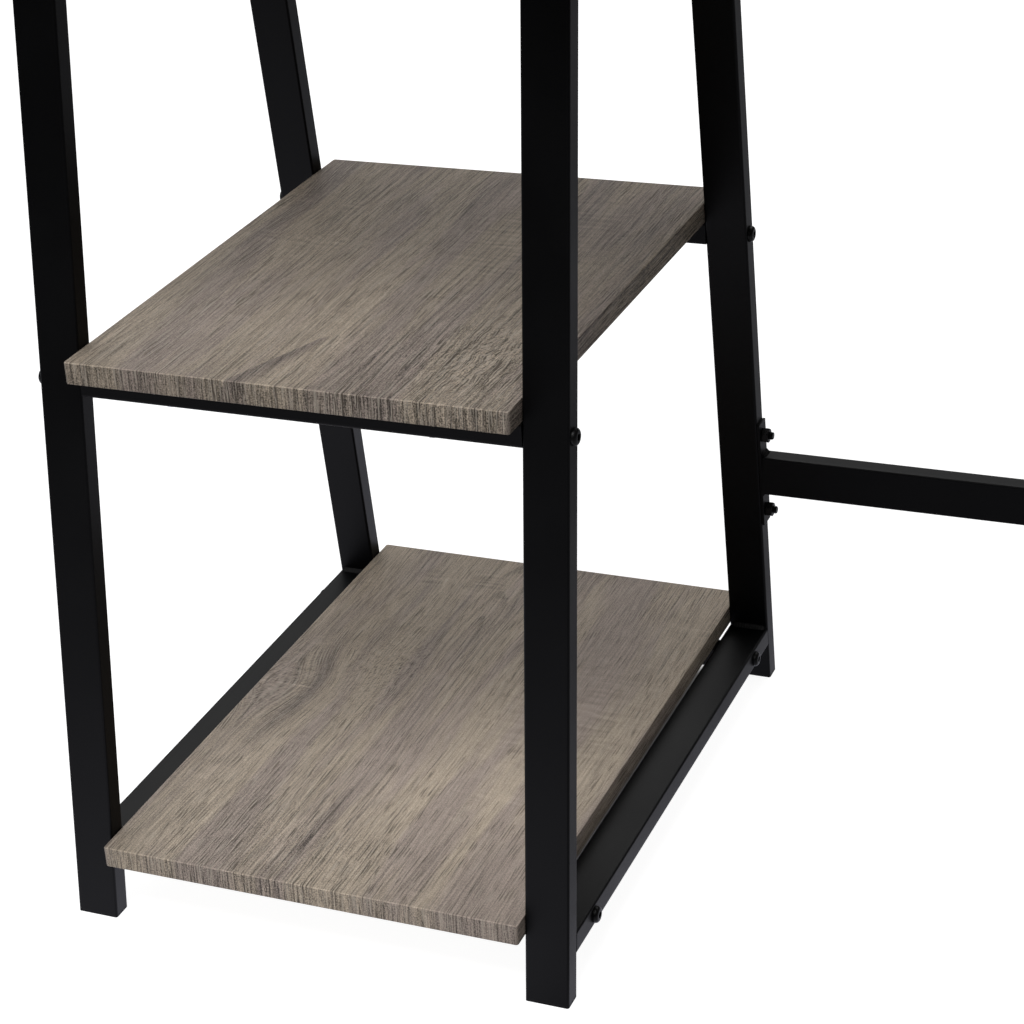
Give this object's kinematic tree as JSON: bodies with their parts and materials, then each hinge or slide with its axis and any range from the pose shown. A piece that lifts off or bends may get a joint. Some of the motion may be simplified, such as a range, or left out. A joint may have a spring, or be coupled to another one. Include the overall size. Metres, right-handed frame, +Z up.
{
  "type": "desk with shelves",
  "caption": "Trestle desk with leaning black steel tube frames, a grey-oak desktop, and open shelves in a bay at its left end.",
  "frame": {"origin": "on the floor, under the middle of the desktop", "axes": "+X along the desk to the user's right, away from the shelves, +Y from the front to the back, +Z up"},
  "size_m": [1.2, 0.5, 0.75],
  "materials": {
    "grey_oak_board": "matt wrapped board with a grey-brown oak grain",
    "black_powder_coat": "satin black powder coat",
    "black_fasteners": "black oxide, satin",
    "black_plastic": "moulded, fine matt texture",
    "zinc_plated_steel": "bright zinc plating"
  },
  "bodies": {
    "root": {"desktop": "grey_oak_board", "desktop_screws": "zinc_plated_steel", "left_frame_welds": "black_powder_coat", "left_front_foot": "black_plastic", "left_front_leg": "black_powder_coat", "left_lower_rail": "black_powder_coat", "left_rear_foot": "black_plastic", "left_rear_leg": "black_powder_coat", "left_top_rail": "black_powder_coat", "left_top_rail_plugs": "black_plastic", "lower_bar_bolts": "black_fasteners", "lower_bar_nuts": "zinc_plated_steel", "lower_front_bar": "black_powder_coat", "lower_rear_bar": "black_powder_coat", "lower_shelf": "grey_oak_board", "lower_shelf_screws": "zinc_plated_steel", "middle_frame_welds": "black_powder_coat", "middle_front_foot": "black_plastic", "middle_front_leg": "black_powder_coat", "middle_lower_rail": "black_powder_coat", "middle_rear_foot": "black_plastic", "middle_rear_leg": "black_powder_coat", "middle_top_rail": "black_powder_coat", "middle_top_rail_plugs": "black_plastic", "right_frame_welds": "black_powder_coat", "right_front_foot": "black_plastic", "right_front_leg": "black_powder_coat", "right_lower_rail": "black_powder_coat", "right_rear_foot": "black_plastic", "right_rear_leg": "black_powder_coat", "right_top_rail": "black_powder_coat", "right_top_rail_plugs": "black_plastic", "stretcher_bolts": "black_fasteners", "stretcher_left_plate": "black_powder_coat", "stretcher_nuts": "black_fasteners", "stretcher_right_plate": "black_powder_coat", "stretcher_tube": "black_powder_coat", "stretcher_welds": "black_powder_coat", "upper_bar_bolts": "black_fasteners", "upper_bar_nuts": "zinc_plated_steel", "upper_front_bar": "black_powder_coat", "upper_rear_bar": "black_powder_coat", "upper_shelf": "grey_oak_board", "upper_shelf_screws": "zinc_plated_steel"}
  },
  "joints": []
}
